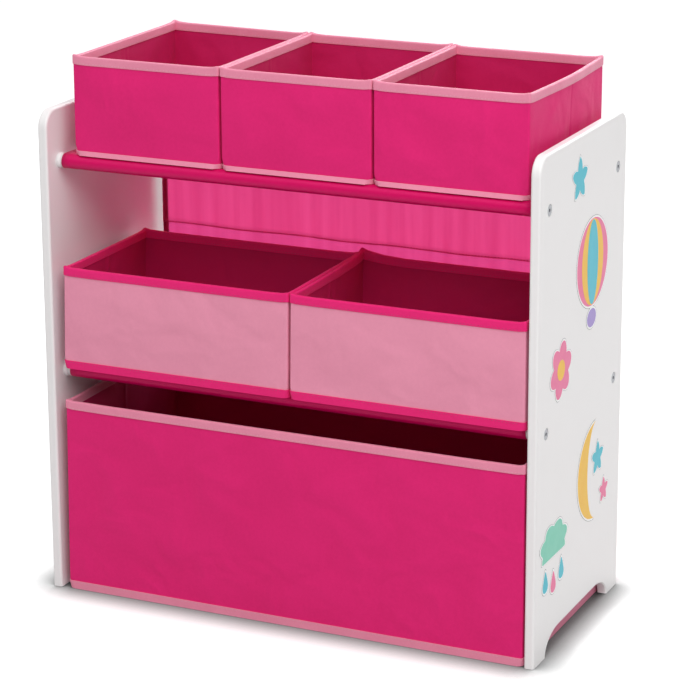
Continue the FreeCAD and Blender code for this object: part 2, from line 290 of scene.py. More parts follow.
# Woven binding tape: a closer, ribbed weave that catches more light on the fold.
tape_light = woven_cloth("binding tape light pink", "#DF7D9B", "#F19AB2", 1.0 * MM, 0.55, 0.1,
                         wrinkle=0.3)
tape_hot = woven_cloth("binding tape hot pink", "#DD1868", "#F72A80", 1.0 * MM, 0.55, 0.08,
                       wrinkle=0.3)
print("cloths made for the bins, shelves and tapes")


# %% [markdown]
# ## Thread
# Seams are sewn with a twisted polyester thread. The twist is a band that runs aslant over each
# stitch, about 0.4 mm wide. It could be left out at this size, but it breaks up the highlight.

# %% Sewing thread
def sewing_thread(name, dark, light):
    material, tree, shader = new_material(name, Roughness=0.5, Sheen_Weight=0.2)
    spot = add(tree, "ShaderNodeTexCoord").outputs["Object"]
    twist = add(tree, "ShaderNodeTexWave", {"Vector": spot, "Scale": bands(0.8 * MM)},
                bands_direction="DIAGONAL").outputs["Fac"]
    colour_by(tree, shader, twist, dark, light)
    bump_by(tree, shader, twist, 0.1 * MM)
    return material


thread_light = sewing_thread("polyester thread light pink", "#D0839A", "#F0B4C6")
thread_hot = sewing_thread("polyester thread hot pink", "#A81550", "#D83A7C")
thread_dark = sewing_thread("polyester thread in the curtain", "#A0103E", "#C92662")

# %% [markdown]
# ## Curtain cloth
# The curtain is so thin that light comes through it: from the front it glows. A bright paint would
# fake that for one view only. Instead most of its shader is translucent, which passes the light
# from behind and takes the cloth's colour on the way. Streaks down the cloth are its slack threads.

# %% Thin polyester that lets light through
def thin_cloth(name, dark, light, dim_glow, glow, share):
    """The woven cloth, mixed with a share of light that shines through between two glow colours."""
    material = woven_cloth(name, dark, light, 1.2 * MM, 0.6, 0.02, wrinkle=0.25)
    tree = material.node_tree
    spot = add(tree, "ShaderNodeTexCoord").outputs["Object"]
    upright = add(tree, "ShaderNodeMapping", {"Vector": spot, "Scale": (80.0, 1.0, 3.0)})
    streaks = add(tree, "ShaderNodeTexNoise", {"Vector": upright.outputs[0], "Scale": 1.0,
                                               "Detail": 3.0, "Roughness": 0.6})
    colour = tones(tree, streaks.outputs["Fac"], dim_glow, glow)
    through = add(tree, "ShaderNodeBsdfTranslucent", {"Color": colour})
    both = add(tree, "ShaderNodeMixShader", {0: share, 1: tree.nodes["Principled BSDF"].outputs[0],
                                             2: through.outputs[0]})
    tree.links.new(both.outputs[0], tree.nodes["Material Output"].inputs["Surface"])
    return material


curtain_cloth = thin_cloth("thin polyester curtain", "#D02A6C", "#E03C7C", "#EA7AB0", "#FF9CCC", 0.74)
curtain_hem = thin_cloth("thin polyester, folded bottom hem", "#D02468", "#E03476", "#E77EB4",
                         "#FC9CD0", 0.73)
# The rolled side hems really pass less light than the curtain; their darker cloth colours are painted
# shade.
side_hem_painted_shade_cloth = thin_cloth("thin polyester, rolled side hem with painted shade", "#8A0630", "#A00C3C", "#B01848",
                            "#C02050", 0.25)


# %% [markdown]
# ## Painted board
# The side panels are fibreboard with a sprayed white lacquer: satin, almost even, with the faint
# orange peel that a spray gun leaves, about 2 mm from crest to crest. A plain white would look like
# paper, so the gloss also varies in wide soft patches.

# %% Sprayed lacquer
def sprayed_lacquer(name, dark, light, roughness):
    material, tree, shader = new_material(name, Coat_Weight=0.12, Coat_Roughness=0.25)
    patches = object_noise(tree, 9.0, 3.0)
    colour_by(tree, shader, patches, dark, light)
    gloss_by(tree, shader, patches, roughness - 0.07, roughness + 0.07)
    bump_by(tree, shader, object_noise(tree, 520.0, 1.0), 0.2 * MM, 0.12)
    return material


panel_lacquer = sprayed_lacquer("white satin lacquer on fibreboard", "#EDEAEA", "#F3F1F1", 0.42)
tube_enamel = sprayed_lacquer("white baked enamel on steel tube", "#DEDCDC", "#E6E4E4", 0.3)


# %% [markdown]
# ## Small hard parts
# The tube plugs are moulded polypropylene, the screws zinc-plated steel, and the boards in the bins
# plain grey cardboard. Each gets the grain its making leaves: a fine sparked texture from the
# mould, a mottled plating, and pressed fibres.

# %% Moulded plastic, plated steel, cardboard
def moulded_plastic(name, colour):
    material, tree, shader = new_material(name, Base_Color=linear(colour), IOR=1.49)
    grain = object_noise(tree, 900.0, 2.0)
    gloss_by(tree, shader, grain, 0.28, 0.4)
    bump_by(tree, shader, grain, 0.05 * MM, 0.2)
    return material


def plated_steel(name, dark, light):
    material, tree, shader = new_material(name, Metallic=1.0)
    mottle = object_noise(tree, 420.0, 4.0)
    colour_by(tree, shader, mottle, dark, light)
    gloss_by(tree, shader, mottle, 0.25, 0.42)
    return material


def pressed_card(name, dark, light):
    material, tree, shader = new_material(name, Roughness=0.85)
    fibres = object_noise(tree, 700.0, 5.0)
    colour_by(tree, shader, fibres, dark, light)
    bump_by(tree, shader, fibres, 0.1 * MM)
    return material


plug_plastic = moulded_plastic("moulded polypropylene white", "#EDEBEB")
zinc = plated_steel("zinc-plated steel", "#7E8085", "#A6A8AC")
card = pressed_card("grey cardboard stiffener", "#8C8780", "#A9A49C")


# %% [markdown]
# ## Dress the pieces that keep their construction shape
# The panels, tubes and screws already have their true shape, so they only change material.

# %% Materials of the rigid pieces
levels = ("top", "middle")
rows = ("front", "rear")


def dress(material, *names):
    for name in names:
        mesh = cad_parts[name].data
        mesh.materials.clear()
        mesh.materials.append(material)


dress(panel_lacquer, "side_panel_left", "side_panel_right")
dress(zinc, "panel_bolts_left", "panel_bolts_right")
dress(tube_enamel, *(f"{level}_{row}_tube" for level in levels for row in rows))
print("dressed the panels, screws and tubes")


# %% [markdown]
# ## Tube plugs
# Each tube ends in a white plug whose flange shows as a thin ring beside the panel. It is turned
# from a disc here: a circle, extruded, with its edges bevelled, because the moulded edge is soft
# and catches a line of light. The spigot inside the tube never shows.

# %% Flanges at the tube ends
FLANGE_RADIUS = 9.2 * MM
FLANGE_ROUND = 0.9 * MM


def tube_centre(level, row):
    low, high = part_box(f"{level}_{row}_tube")
    return (low + high) / 2


def flange(bm, x_start, x_end, centre):
    """A disc round a tube's axis, with both its rims rounded."""
    turn = Matrix.Rotation(math.radians(90), 4, "Y")
    place = Matrix.Translation((x_start, centre.y, centre.z))
    near = bmesh.ops.create_circle(bm, cap_ends=True, segments=40, radius=FLANGE_RADIUS,
                                   matrix=place @ turn)["verts"]
    far = thicken(bm, near, (x_end - x_start, 0, 0))
    rims = [edge for edge in {edge for vert in near + far for edge in vert.link_edges}
            if abs(edge.verts[0].co.x - edge.verts[1].co.x) < SAME_SPOT]
    bmesh.ops.bevel(bm, geom=rims, offset=FLANGE_ROUND, segments=3, profile=0.5, affect="EDGES",
                    material=-1)


for side in ("left", "right"):
    low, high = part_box("tube_caps_" + side)
    tube_low, tube_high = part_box("top_front_tube")
    seat, tube_end = (low.x, tube_low.x) if side == "left" else (high.x, tube_high.x)
    bm = bmesh.new()
    for level in levels:
        for row in rows:
            flange(bm, seat, tube_end, tube_centre(level, row))
    make_piece("tube_plugs_" + side, bm, [plug_plastic], "frame",
               replaces=["tube_caps_" + side])

# %% [markdown]
# ## Stitches
# A sewn seam shows as a row of short threads, each about 3 mm long. They could be a dashed line in
# the material, but real little spindles cast the tiny shadows that make a seam. There are
# thousands, so each has only twenty faces.

# %% A row of stitches
STITCH_PITCH = 4.2 * MM
STITCH = Vector((3.0, 0.8, 0.6)) * MM


def stitch_row(bm, start, end, outward):
    """Spindles from start to end, half sunk in the cloth whose surface faces outward."""
    span = end - start
    along = span.normalized()
    turn = Matrix((along, outward.cross(along), outward)).transposed().to_4x4()
    size = Matrix.Diagonal((*(STITCH / 2), 1.0))
    count = max(1, round(span.length / STITCH_PITCH))
    for index in range(count):
        place = Matrix.Translation(start + span * ((index + 0.5) / count))
        bmesh.ops.create_icosphere(bm, subdivisions=1, radius=1.0, matrix=place @ turn @ size)


def stitch_ring(bm, width, depth, z, inset, inwards=False, corner=5 * MM):
    """Rows on the four walls of a box round the origin, at one height, outside it or inside it."""
    direction = -1 if inwards else 1
    x = width / 2 - inset
    y = depth / 2 - inset
    for sign in (-1, 1):
        stitch_row(bm, Vector((sign * x, corner - y, z)), Vector((sign * x, y - corner, z)),
                   X_AXIS * sign * direction)
        stitch_row(bm, Vector((corner - x, sign * y, z)), Vector((x - corner, sign * y, z)),
                   Y_AXIS * sign * direction)


# %% [markdown]
# ## Cloth shelves
# Each shelf is one sheet. It lies over two tubes, goes round each and is sewn to its own underside
# a little way in, so the sleeve is drop-shaped. The section is drawn once for the front half by
# spinning a point round the tube, mirrored for the rear, and then pulled out along X.

# %% Section of a shelf
SHELF_CLOTH = 0.8 * MM
SEAM_REACH = 14 * MM
SHELF_SAG = 1.6 * MM
SLEEVE_RIPPLE = 0.25 * MM
SHELF_SEAM_INSET = 2 * MM
SLEEVE_BARE = {"top": 2.2 * MM, "middle": 4.6 * MM}


def shelf_section(bm, x, front_tube, radius):
    """Half section: flat sheet from the middle to the front tube, round it, and back to the seam."""
    top = bm.verts.new((x, front_tube.y, front_tube.z + radius))
    middle = bm.verts.new((x, 0, top.co.z))
    bm.edges.new((middle, top))
    half_wedge = math.atan2(radius, SEAM_REACH)
    wrap = math.pi + 2 * half_wedge
    spun = bmesh.ops.spin(bm, geom=[top], cent=(x, front_tube.y, front_tube.z), axis=X_AXIS,
                          angle=wrap, steps=22, dvec=(0, 0, 0), use_merge=False)
    last = verts_in(spun["geom_last"])[0]
    seam = bm.verts.new((x, front_tube.y + SEAM_REACH, front_tube.z + radius - SHELF_CLOTH))
    bm.edges.new((last, seam))
    return SEAM_REACH + radius * wrap - front_tube.y


def make_shelf(level):
    """One shelf: sagging between its tubes, rippled on its sleeves."""
    node = level + "_shelf_sling"
    low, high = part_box(node)
    low.x += SLEEVE_BARE[level]
    high.x -= SLEEVE_BARE[level]
    front_tube = tube_centre(level, "front")
    radius = high.z - front_tube.z - SHELF_CLOTH / 2
    bm = bmesh.new()
    half_length = shelf_section(bm, low.x, front_tube, radius)
    bmesh.ops.mirror(bm, geom=bm.verts[:] + bm.edges[:], axis="Y", merge_dist=SAME_SPOT)
    extrude(bm, bm.edges[:], (high.x - low.x, 0, 0))
    slice_at(bm, X_AXIS, evenly(low.x, high.x, 60))
    slice_at(bm, Y_AXIS, evenly(front_tube.y, -front_tube.y, 10))
    for vert in bm.verts:
        span = 1 - (vert.co.y / front_tube.y) ** 2
        if span > 0 and vert.co.z > front_tube.z + 0.8 * radius:
            vert.co.z -= SHELF_SAG * span
        ripple = noise.noise(Vector((vert.co.x * 45, vert.co.y * 60, vert.co.z * 60)))
        if abs(vert.co.y) > abs(front_tube.y):
            vert.co.y += math.copysign(SLEEVE_RIPPLE * ripple, vert.co.y)
    piece = make_piece(node + "_cloth", bm, [satin_pink], "frame", replaces=[node],
                       thickness=SHELF_CLOTH, offset=0.0)
    return low, high, radius


shelf_boxes = {level: make_shelf(level) for level in levels}

# %% Seams of the shelves
for level, (low, high, radius) in shelf_boxes.items():
    bm = bmesh.new()
    for row in rows:
        centre = tube_centre(level, row)
        y = centre.y - math.copysign(SEAM_REACH + SHELF_SEAM_INSET, centre.y)
        z = centre.z + radius + SHELF_CLOTH / 2 - SHELF_SAG * (1 - (y / centre.y) ** 2)
        stitch_row(bm, Vector((low.x, y, z)), Vector((high.x, y, z)), Z_AXIS)
    make_piece(level + "_shelf_stitches", bm, [thread_hot], "frame")

# %% [markdown]
# ## Back curtain
# A thin strip of cloth hangs from the rear sleeve of the top shelf and ends in a sewn hem, with
# narrow hems at its sides. It could be dropped by a cloth simulation, but a strip this short
# hangs almost straight, so its few soft folds are drawn and grow towards the hem. The
# curtain ends just below the hem's seam and the hem is a strip of its own behind it, because two
# layers of thin cloth would pass less light than the real hem does. The side hems are rolled tight
# and pass less light, and their cloth is also painted darker, as painted shade.

# %% How the curtain hangs
curtain_low, curtain_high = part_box("back_curtain")
rear_sleeve = tube_centre("top", "rear")
SLEEVE_RADIUS = 9.6 * MM
CURTAIN_PLANE = rear_sleeve.y + SLEEVE_RADIUS
CURTAIN_FLAT = 14 * MM
CURTAIN_FOLDS = 8
CURTAIN_CLOTH = 0.3 * MM
LAYER_STEP = 0.6 * MM
LAP_ANGLE = math.radians(40)
LAP_SEAMS = (12 * MM, 16 * MM)
BOTTOM_HEM = 22 * MM
HEM_OVERLAP = 1.5 * MM
SIDE_HEM = 7.4 * MM
SIDE_HEM_THICKNESS = 0.6 * MM
COLUMN = 5 * MM
ROW = 8 * MM
SEAM_LIFT = 0.2 * MM


def hang(x, z):
    """How far behind its flat plane the cloth hangs at a point."""
    flat_end = rear_sleeve.z - CURTAIN_FLAT
    drop = max(0.0, (flat_end - z) / (flat_end - curtain_low.z))
    share = (x - curtain_low.x) / (curtain_high.x - curtain_low.x)
    wander = 0.35 * noise.noise(Vector((x * 9, z * 4, 0)))
    fold = math.sin(math.pi * CURTAIN_FOLDS * share + 1.2 * wander)
    small = 0.5 * noise.noise(Vector((x * 30, z * 5, 3)))
    return (0.3 + 2.3 * drop) * MM * (fold + small)


def hung_strip(x_low, x_high, z_low, z_high, layer):
    """A flat piece of the curtain, laid in its folds; each layer lies one step further back."""
    bm = bmesh.new()
    bmesh.ops.create_grid(bm, x_segments=max(2, round((x_high - x_low) / COLUMN)),
                          y_segments=max(2, round((z_high - z_low) / ROW)), size=0.5)
    bmesh.ops.scale(bm, vec=(x_high - x_low, z_high - z_low, 1), verts=bm.verts)
    bmesh.ops.rotate(bm, matrix=Matrix.Rotation(math.radians(90), 3, "X"), verts=bm.verts)
    middle = Vector(((x_low + x_high) / 2, CURTAIN_PLANE + layer * LAYER_STEP, (z_low + z_high) / 2))
    bmesh.ops.translate(bm, vec=middle, verts=bm.verts)
    for vert in bm.verts:
        vert.co.y += hang(vert.co.x, vert.co.z)
    return bm


# %% The curtain and its lap over the sleeve
hem_seam = curtain_low.z + BOTTOM_HEM
bm = hung_strip(curtain_low.x, curtain_high.x, hem_seam - HEM_OVERLAP, rear_sleeve.z, 0)
top_edges = [edge for edge in open_edges(bm)
             if all(abs(vert.co.z - rear_sleeve.z) < SAME_SPOT for vert in edge.verts)]
top_geometry = top_edges + list({vert for edge in top_edges for vert in edge.verts})
bmesh.ops.spin(bm, geom=top_geometry, cent=rear_sleeve, axis=X_AXIS, angle=LAP_ANGLE, steps=5,
               dvec=(0, 0, 0), use_merge=False)
curtain = make_piece("back_curtain_cloth", bm, [curtain_cloth], "frame",
                     replaces=["back_curtain"], thickness=CURTAIN_CLOTH, offset=0.0)

hem = make_piece("back_curtain_hem",
                 hung_strip(curtain_low.x, curtain_high.x, curtain_low.z, hem_seam, 1),
                 [curtain_hem], "frame", thickness=CURTAIN_CLOTH, offset=0.0)
for side, start in (("left", curtain_low.x), ("right", curtain_high.x - SIDE_HEM)):
    strip = hung_strip(start, start + SIDE_HEM, curtain_low.z, rear_sleeve.z - CURTAIN_FLAT, 2)
    make_piece("back_curtain_side_hem_" + side, strip, [side_hem_painted_shade_cloth], "frame",
                                thickness=SIDE_HEM_THICKNESS, offset=0.0)

# %% Seams of the curtain
bm = bmesh.new()
places = [curtain_low.x, *evenly(curtain_low.x, curtain_high.x, 36), curtain_high.x]
for seam_z in (hem_seam, *[rear_sleeve.z - drop for drop in LAP_SEAMS]):
    for before, after in zip(places, places[1:]):
        ends = [Vector((x, CURTAIN_PLANE + hang(x, seam_z) - SEAM_LIFT, seam_z))
                for x in (before, after)]
        stitch_row(bm, *ends, -Y_AXIS)
curtain_seams = make_piece("back_curtain_stitches", bm, [thread_dark], "frame")

# %% [markdown]
# ## Bins
# A bin is a sewn box: outer cloth and lining with stiff boards between them, a tape folded over the
# rim and another over the seam at the base. Its corners are round and tuck in towards the base,
# each side wall has a crease down its middle where the bin folds flat, and the cloth bows and
# puckers between the seams. A box with a cloth texture would miss all of that, so each bin starts
# from a rounded outline that is pulled up, cut into strips, and then bent like the real cloth.

# %% Rounded outline and walls
RIM_RADIUS = 1.5 * MM
LINING_RADIUS = 1.2 * MM
BASE_RADIUS = 8 * MM
SHOULDER = 12 * MM
BIN_CLOTH = 0.7 * MM
BIN_WALL = 3.4 * MM
TAPE_CLOTH = 1.0 * MM
TAPE_WIDTH = 10 * MM
NARROW_TAPE = 5.4 * MM
TAPE_UNDER = 8 * MM
TAPE_ROUND = 1.6 * MM
SKIRT = 2.4 * MM
STRIP = 9 * MM
SKIN_BOW = 1.1 * MM
LINING_BOW = 1.0 * MM
PUCKER = 1.5 * MM
SIDE_PUCKER = 0.16
FREE_CLOTH = 24 * MM
ON_WALL = 0.2 * MM
CREASE_HALF_WIDTH = 4 * MM
CREASE_DEPTH = 1.0 * MM


def rounded_outline(width, depth, radius):
    """A flat face round the origin, with rounded corners."""
    bm = bmesh.new()
    bmesh.ops.create_grid(bm, x_segments=1, y_segments=1, size=0.5)
    bmesh.ops.scale(bm, vec=(width, depth, 1), verts=bm.verts)
    bmesh.ops.bevel(bm, geom=bm.verts[:], offset=radius, offset_type="OFFSET", affect="VERTICES",
                    segments=5, profile=0.5, material=-1)
    return bm


def near_corners(length):
    """Cuts that crowd towards the two ends of a wall, where the corner bends."""
    places = [length / 2 - BASE_RADIUS * part for part in (0.25, 0.5, 0.75, 1.0)]
    return places + [-place for place in places]


def tub(width, depth, height, radius):
    """Floor and four walls, cut into strips that are closer together near the corners."""
    bm = rounded_outline(width, depth, radius)
    extrude(bm, open_edges(bm), (0, 0, height))
    slice_at(bm, Z_AXIS, [SHOULDER * part for part in (0.2, 0.4, 0.6, 0.8, 1.0)])
    slice_at(bm, Z_AXIS, evenly(SHOULDER, height, max(2, round(height / STRIP))))
    for axis, length in ((X_AXIS, width), (Y_AXIS, depth)):
        slice_at(bm, axis, near_corners(length))
        strips = round(length / STRIP)
        slice_at(bm, axis, evenly(-length / 2 + BASE_RADIUS, length / 2 - BASE_RADIUS, strips))
    slice_at(bm, Y_AXIS, [CREASE_HALF_WIDTH * part for part in (-1.0, -0.5, 0.5, 1.0)])
    return bm


# %% Tuck the corners and bow the walls
def tuck_corners(bm, width, depth, rim_radius, base_radius):
    """Pull the corners onto an arc that grows from the shoulder down to the base."""
    for vert in bm.verts:
        share = max(0.0, 1 - vert.co.z / SHOULDER)
        radius = rim_radius + (base_radius - rim_radius) * share
        beyond_x = abs(vert.co.x) - (width / 2 - radius)
        beyond_y = abs(vert.co.y) - (depth / 2 - radius)
        reach = math.hypot(beyond_x, beyond_y)
        if beyond_x > 0 and beyond_y > 0 and reach > radius:
            vert.co.x -= math.copysign(beyond_x * (1 - radius / reach), vert.co.x)
            vert.co.y -= math.copysign(beyond_y * (1 - radius / reach), vert.co.y)


def bow_walls(bm, width, depth, height, amount, slack, seed):
    """Bow the walls by amount between their seams, out or in, and pucker and crease them."""
    side = math.copysign(1, amount)
    for vert in bm.verts:
        x, y, z = vert.co
        rise = math.sin(math.pi * min(1.0, max(0.0, z / height)))
        sway = 0.75 + 0.5 * noise.noise(Vector((x * 12, y * 12 + seed, z * 14)))
        wave = noise.noise(Vector((x * 12 + 3, y * 12 + seed, z * 15)))
        ripple = 0.25 * noise.noise(Vector((x * 35, y * 35 + seed, z * 30)))
        free = min(1.0, max(0.0, (min(z, height - z) - TAPE_WIDTH) / FREE_CLOTH))
        pucker = side * PUCKER * slack * free * (wave + ripple + 0.4)
        bow = amount * rise * sway
        if abs(abs(y) - depth / 2) < ON_WALL:
            fold = math.sqrt(max(0.0, math.cos(math.pi * x / width)))
            vert.co.y += math.copysign(1, y) * (bow + pucker) * fold
        if abs(abs(x) - width / 2) < ON_WALL:
            fold = abs(math.sin(2 * math.pi * y / depth))
            crease = CREASE_DEPTH * max(0.0, 1 - abs(y) / CREASE_HALF_WIDTH)
            vert.co.x += math.copysign(1, x) * ((bow + SIDE_PUCKER * pucker) * fold - crease)


# %% Skin or lining
def cloth_of(width, depth, height, inset, rim_radius, bow, slack, seed):
    """One layer of cloth for the floor and the walls, inset from the outside of the bin."""
    width -= 2 * inset
    depth -= 2 * inset
    bm = tub(width, depth, height, rim_radius)
    tuck_corners(bm, width, depth, rim_radius, BASE_RADIUS - inset)
    bow_walls(bm, width, depth, height, bow, slack, seed)
    return bm


# %% Tapes
def rim_tape_of(width, depth):
    """Tape folded over the rim: a ring, with a wall down each side and a round fold on top."""
    bm = rounded_outline(width + 2 * TAPE_CLOTH, depth + 2 * TAPE_CLOTH, RIM_RADIUS + TAPE_CLOTH)
    middle = bm.faces[:]
    band = BIN_WALL + 2 * TAPE_CLOTH
    bmesh.ops.inset_region(bm, faces=middle, thickness=band, use_even_offset=True, use_boundary=True)
    mouth_x = width / 2 + TAPE_CLOTH - band
    mouth_y = depth / 2 + TAPE_CLOTH - band
    for vert in middle[0].verts:
        vert.co.x = max(-mouth_x, min(mouth_x, vert.co.x))
        vert.co.y = max(-mouth_y, min(mouth_y, vert.co.y))
    bmesh.ops.delete(bm, geom=middle, context="FACES_ONLY")
    bmesh.ops.remove_doubles(bm, verts=bm.verts, dist=SAME_SPOT)
    bmesh.ops.dissolve_degenerate(bm, edges=bm.edges, dist=SAME_SPOT)
    fold = open_edges(bm)
    extrude(bm, fold, (0, 0, -TAPE_WIDTH))
    bmesh.ops.bevel(bm, geom=fold, offset=TAPE_ROUND, segments=4, profile=0.5, affect="EDGES",
                    material=-1)
    for axis, length in ((X_AXIS, width), (Y_AXIS, depth)):
        slice_at(bm, axis, [0.0, *near_corners(length), *evenly(-length / 2, length / 2, 10)])
    return bm


def base_tape_of(width, depth, tape_width):
    """Tape over the base seam: up the wall, and turned under the floor."""
    w = width + 2 * TAPE_CLOTH
    d = depth + 2 * TAPE_CLOTH
    bm = tub(w, d, 2 * TAPE_WIDTH, RIM_RADIUS + TAPE_CLOTH)
    slice_at(bm, Z_AXIS, [tape_width])
    inner_x = w / 2 - TAPE_UNDER
    inner_y = d / 2 - TAPE_UNDER
    slice_at(bm, X_AXIS, (-inner_x, inner_x))
    slice_at(bm, Y_AXIS, (-inner_y, inner_y))
    gone = []
    for face in bm.faces:
        spot = face.calc_center_median()
        above = spot.z > tape_width
        below = spot.z < SAME_SPOT and abs(spot.x) < inner_x and abs(spot.y) < inner_y
        if above or below:
            gone.append(face)
    bmesh.ops.delete(bm, geom=gone, context="FACES")
    tuck_corners(bm, w, d, RIM_RADIUS + TAPE_CLOTH, BASE_RADIUS + TAPE_CLOTH)
    if tape_width < TAPE_WIDTH:
        for vert in bm.verts:
            if abs(vert.co.y) > d / 2 - ON_WALL / 2:
                vert.co.y += math.copysign(1, vert.co.y) * SKIRT * (1 - vert.co.z / tape_width)
    return bm


# %% [markdown]
# ## How each bin has settled
# No two bins stand quite alike: the cloth lets a wall lean by a few millimetres when a bin is
# pushed into its place, and a folded tape stands up a little at each corner. A physics simulation
# of the boards would give some lean, but not the one in the picture, so the lean of each side wall
# at its base and at its rim is written down here, and all the layers of a bin follow it together.

# %% Lean of the walls, in millimetres
# To the right at the base and at the rim for the side walls; to the back at the left and at the
# right end for the rear wall.
LEAN = {
    "top_bin_left": {"left": (1.5, 2.0), "right": (4.0, 4.0), "rear": (6.0, -4.0)},
    "top_bin_middle": {"left": (3.2, 3.2), "right": (3.6, 3.6), "rear": (-4.0, -6.0)},
    "top_bin_right": {"left": (2.6, 2.6), "right": (0.4, 0.4), "rear": (-8.0, -8.0)},
    "middle_bin_left": {"left": (-2.0, 1.6), "right": (3.6, 5.6), "rear": (0.0, 0.0)},
    "middle_bin_right": {"left": (1.8, 3.8), "right": (0.5, 0.5), "rear": (0.0, 0.0)},
    "bottom_bin": {"left": (-3.6, 0.0), "right": (0.0, 0.0), "rear": (0.0, 0.0)},
}
CORNER_PEAK = 2.2 * MM
CORNER_REACH = 7 * MM
LOOSE_WALL_BOW = 4.5 * MM
LIFTED_CORNER = 6 * MM


def blend_pair(pair, share):
    return pair[0] + (pair[1] - pair[0]) * share


def settle(bm, name, width, depth, height):
    """Move every point of a bin's layer, drawn round the origin, to where the bin has settled."""
    lean = LEAN[name]
    for vert in bm.verts:
        x, y, z = vert.co
        across = x / width + 0.5
        back = min(1.0, max(0.0, y / depth + 0.5))
        rise = min(1.0, max(0.0, z / height))
        left = blend_pair(lean["left"], rise)
        right = blend_pair(lean["right"], rise)
        vert.co.x += blend_pair((left, right), across) * MM
        vert.co.y += blend_pair(lean["rear"], across) * MM * back ** 3
        to_corner = math.hypot(width / 2 - abs(x), depth / 2 - abs(y))
        vert.co.z += CORNER_PEAK * rise ** 8 * math.exp(-(to_corner / CORNER_REACH) ** 2)
        if name == "top_bin_right":
            loose = math.sin(math.pi * back) ** 2 * max(0.0, across) ** 4
            vert.co.x += LOOSE_WALL_BOW * loose * rise
        if name == "middle_bin_right":
            corner = max(0.0, 1 - across * 7) * back ** 6
            vert.co.z += LIFTED_CORNER * corner * rise ** 2


# %% Boards inside a bin
def boards_of(node, foot):
    """A copy of the stiff boards, merged and cut into strips so that it can lean with its bin."""
    bm = bmesh.new()
    bm.from_mesh(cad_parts[node].data)
    bmesh.ops.remove_doubles(bm, verts=bm.verts, dist=SAME_SPOT)
    bmesh.ops.translate(bm, vec=-foot, verts=bm.verts)
    low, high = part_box(node)
    slice_at(bm, X_AXIS, evenly(low.x - foot.x, high.x - foot.x, 8))
    slice_at(bm, Y_AXIS, evenly(low.y - foot.y, high.y - foot.y, 8))
    return bm


# %% Put a bin together
RIM_SEAM_INSET = 1.8 * MM
BASE_SEAM_INSET = 1.6 * MM
BASE_TAPE_CLOTH = TAPE_CLOTH - 0.1 * MM


def make_bin(name, skin, rim, base, base_width, slack, seed):
    """All the layers of one bin; skin, rim and base are each a cloth, its thread and a slot name, which
    is not used.
    """
    low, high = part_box(name + "_skin")
    floor_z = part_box(name + "_base_binding")[0].z
    rim_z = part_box(name + "_rim_binding")[1].z
    width, depth, height = high.x - low.x, high.y - low.y, rim_z - floor_z
    foot = Vector(((low.x + high.x) / 2, (low.y + high.y) / 2, floor_z))
    rim_seams = bmesh.new()
    seam_z = height - TAPE_WIDTH + RIM_SEAM_INSET
    stitch_ring(rim_seams, width, depth, seam_z, -TAPE_CLOTH)
    stitch_ring(rim_seams, width, depth, seam_z, BIN_WALL + TAPE_CLOTH, inwards=True)
    base_seams = bmesh.new()
    stitch_ring(base_seams, width, depth, base_width - BASE_SEAM_INSET, -TAPE_CLOTH,
                corner=BASE_RADIUS)
    wall_height = height - 2 * TAPE_CLOTH
    floor = TAPE_CLOTH + BIN_CLOTH
    skin_layer = cloth_of(width, depth, wall_height, 0.0, RIM_RADIUS, SKIN_BOW, slack, seed)
    lining_layer = cloth_of(width, depth, wall_height - BIN_CLOTH, BIN_WALL - BIN_CLOTH,
                            LINING_RADIUS, -LINING_BOW, slack, seed + 5)
    layers = (
        ("skin", "_skin", skin_layer, TAPE_CLOTH, skin[0], skin[2], BIN_CLOTH),
        ("lining", "_lining", lining_layer, floor, lining_pink, "cloth_hot_pink", BIN_CLOTH),
        ("stiffeners", "_wall_boards", boards_of(name + "_wall_boards", foot), 0.0, card,
         "stiffener_board", 0.0),
        ("floor_board", "_base_board", boards_of(name + "_base_board", foot), 0.0, board_pink,
         "stiffener_board", 0.0),
        ("rim_tape", "_rim_binding", rim_tape_of(width, depth), height, rim[0], rim[2], TAPE_CLOTH),
        ("base_tape", "_base_binding", base_tape_of(width, depth, base_width), 0.0, base[0], base[2],
         BASE_TAPE_CLOTH),
        ("rim_stitches", "", rim_seams, 0.0, rim[1], rim[2], 0.0),
        ("base_stitches", "", base_seams, 0.0, base[1], base[2], 0.0),
    )
    for piece_name, node, bm, lift, cloth, slot, thickness in layers:
        bmesh.ops.translate(bm, vec=Z_AXIS * lift, verts=bm.verts)
        settle(bm, name, width, depth, height)
        bmesh.ops.translate(bm, vec=foot, verts=bm.verts)
        stands_for = [name + node] if node else []
        make_piece(f"{name}_{piece_name}", bm, [cloth], name, replaces=stands_for,
                   thickness=thickness)


hot_cloth = (hot_pink, thread_hot, "cloth_hot_pink")
light_cloth = (light_pink, thread_light, "cloth_light_pink")
light_tape = (tape_light, thread_light, "tape_light_pink")
hot_tape = (tape_hot, thread_hot, "tape_hot_pink")
SLACK = 2.2
TAUT = 1.0
for seed, place in enumerate(("left", "middle", "right")):
    make_bin("top_bin_" + place, hot_cloth, light_tape, light_tape, NARROW_TAPE, SLACK, seed)
for seed, place in enumerate(("left", "right"), start=10):
    make_bin("middle_bin_" + place, light_cloth, hot_tape, hot_tape, TAPE_WIDTH, TAUT, seed)
make_bin("bottom_bin", hot_cloth, light_tape, light_tape, TAPE_WIDTH, TAUT, 20)


# %% [markdown]
# ## Stickers
# The right panel carries five printed vinyl stickers, each with a white die-cut border. They could
# be painted on the board in its material, but a sticker has an edge and its own gloss, so each is
# a stack of thin shapes: a grey outline, partly the cut edge and partly painted shadow, and a white
# border, both cut larger, and the printed colours just above them. The motifs are plain: a star,
# a balloon, a flower, a moon and a cloud.

# %% Vinyl film
def vinyl_film(name, dark, light):
    """Printed and laminated film: glossy, with a very slight unevenness of the ink."""
    material, tree, shader = new_material(name, Coat_Weight=0.08, Coat_Roughness=0.15, Roughness=0.4,
                                          Specular_IOR_Level=0.2)
    ink = object_noise(tree, 60.0, 3.0)
    colour_by(tree, shader, ink, dark, light)
    bump_by(tree, shader, ink, 0.1 * MM, 0.1)
    return material


